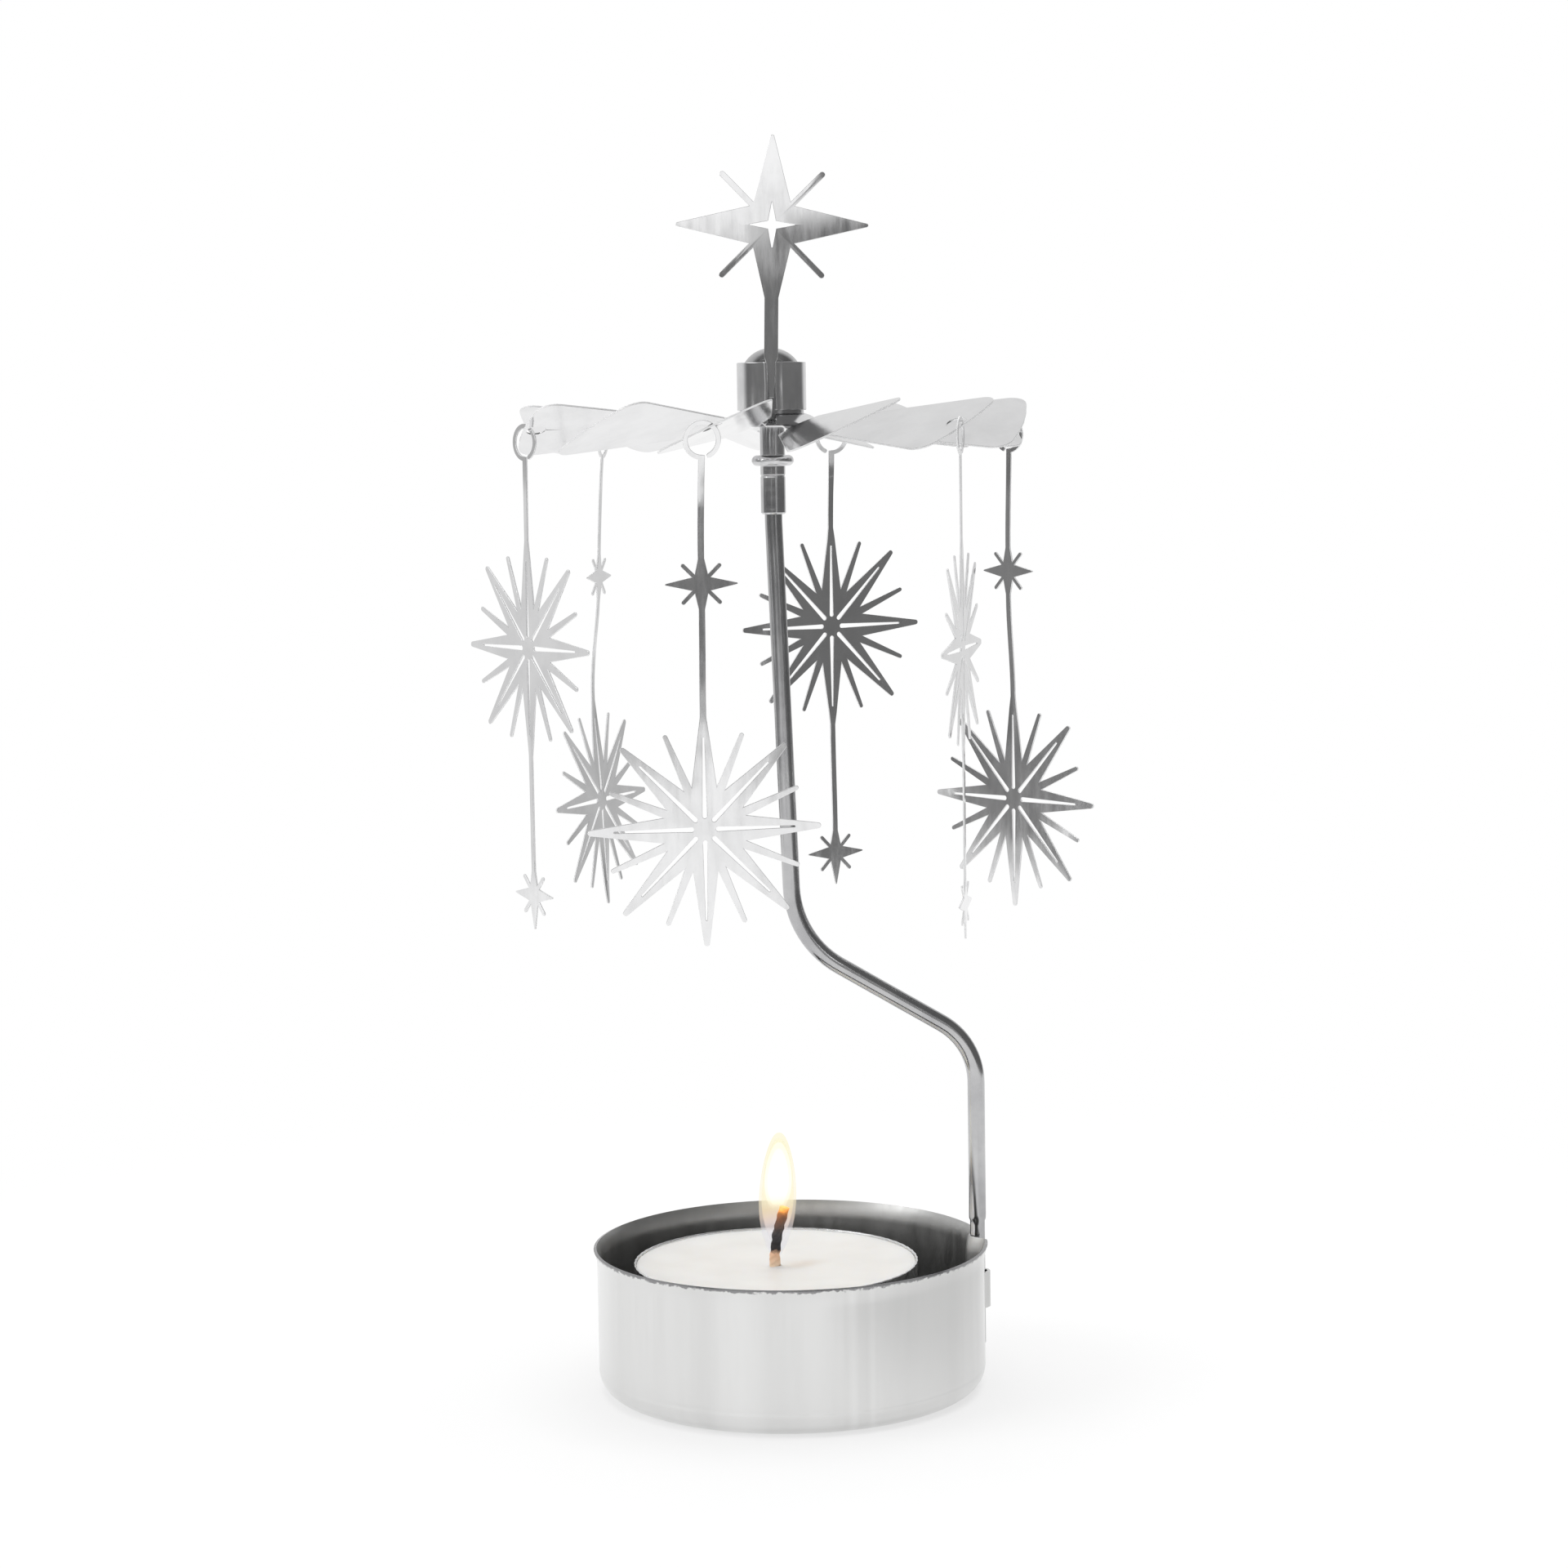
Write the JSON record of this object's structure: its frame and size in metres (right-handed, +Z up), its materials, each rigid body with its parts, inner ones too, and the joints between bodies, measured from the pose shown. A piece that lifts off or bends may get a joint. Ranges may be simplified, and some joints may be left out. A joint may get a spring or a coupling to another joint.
{
  "type": "candle carousel",
  "caption": "Tabletop candle carousel: a pan holds a tealight and a bent wire whose needle carries a bladed fan wheel hung with star strips that turn in the rising warm air.",
  "frame": {"origin": "centre of the flat face that the pan rests on", "axes": "+Z up along the pan's axis, -Y towards the viewer of the picture, +X to the right, towards the wire's foot"},
  "size_m": [0.0819, 0.0768, 0.1651],
  "materials": {
    "pan_steel": "bright plated sheet, satin inside",
    "wire_steel": "bright plated wire",
    "turned_steel": "bright turned",
    "hub_steel": "bright plated sheet",
    "wheel_steel": "bright plated sheet",
    "star_steel": "bright plated stamped sheet",
    "cup_aluminium": "thin pressed foil",
    "wax": "white paraffin, slightly translucent",
    "wick_cord": "charred braided cord",
    "clip_steel": "plain pressed sheet"
  },
  "bodies": {
    "base": {"pan": "pan_steel"},
    "stand": {"stem_wire": "wire_steel", "pivot_ferrule": "turned_steel", "pivot_needle": "turned_steel"},
    "rotor": {"fan_wheel": "wheel_steel", "bearing_cap": "hub_steel", "hub_sleeve": "hub_steel"},
    "topper": {"star_topper": "star_steel"},
    "candle": {"tealight_cup": "cup_aluminium", "tealight_wax": "wax", "tealight_wick": "wick_cord", "wick_clip": "clip_steel"},
    "hanger_1": {"star_hanger_1": "star_steel"},
    "hanger_2": {"star_hanger_2": "star_steel"},
    "hanger_3": {"star_hanger_3": "star_steel"},
    "hanger_4": {"star_hanger_4": "star_steel"},
    "hanger_5": {"star_hanger_5": "star_steel"},
    "hanger_6": {"star_hanger_6": "star_steel"}
  },
  "joints": [
    {"name": "stem_pull", "type": "slide", "parent": "base", "child": "stand", "axis": [0, 0, 1], "range_m": [0, 0.016]},
    {"name": "wheel_spin", "type": "hinge", "parent": "stand", "child": "rotor", "pos_m": [-0.0007, 0, 0.1277], "axis": [0, 0, 1], "continuous": true},
    {"name": "star_pull", "type": "slide", "parent": "rotor", "child": "topper", "axis": [0, 0, 1], "range_m": [0, 0.006]},
    {"name": "candle_lift", "type": "slide", "parent": "base", "child": "candle", "axis": [0, 0, 1], "range_m": [0, 0.02]},
    {"name": "hanger_1_swing", "type": "hinge", "parent": "rotor", "child": "hanger_1", "pos_m": [0.02253, -0.02347, 0.1272], "axis": [-0.6845, -0.729, 0], "range_deg": [-15, 15]},
    {"name": "hanger_2_swing", "type": "hinge", "parent": "rotor", "child": "hanger_2", "pos_m": [0.03124, 0.00839, 0.1272], "axis": [0.289, -0.9573, 0], "range_deg": [-15, 15]},
    {"name": "hanger_3_swing", "type": "hinge", "parent": "rotor", "child": "hanger_3", "pos_m": [0.008, 0.03185, 0.1272], "axis": [0.9736, -0.2284, 0], "range_deg": [-15, 15]},
    {"name": "hanger_4_swing", "type": "hinge", "parent": "rotor", "child": "hanger_4", "pos_m": [-0.02393, 0.02347, 0.1272], "axis": [0.6845, 0.729, 0], "range_deg": [-15, 15]},
    {"name": "hanger_5_swing", "type": "hinge", "parent": "rotor", "child": "hanger_5", "pos_m": [-0.03264, -0.00839, 0.1272], "axis": [-0.289, 0.9573, 0], "range_deg": [-15, 15]},
    {"name": "hanger_6_swing", "type": "hinge", "parent": "rotor", "child": "hanger_6", "pos_m": [-0.0094, -0.03185, 0.1272], "axis": [-0.9736, 0.2284, 0], "range_deg": [-15, 15]}
  ]
}
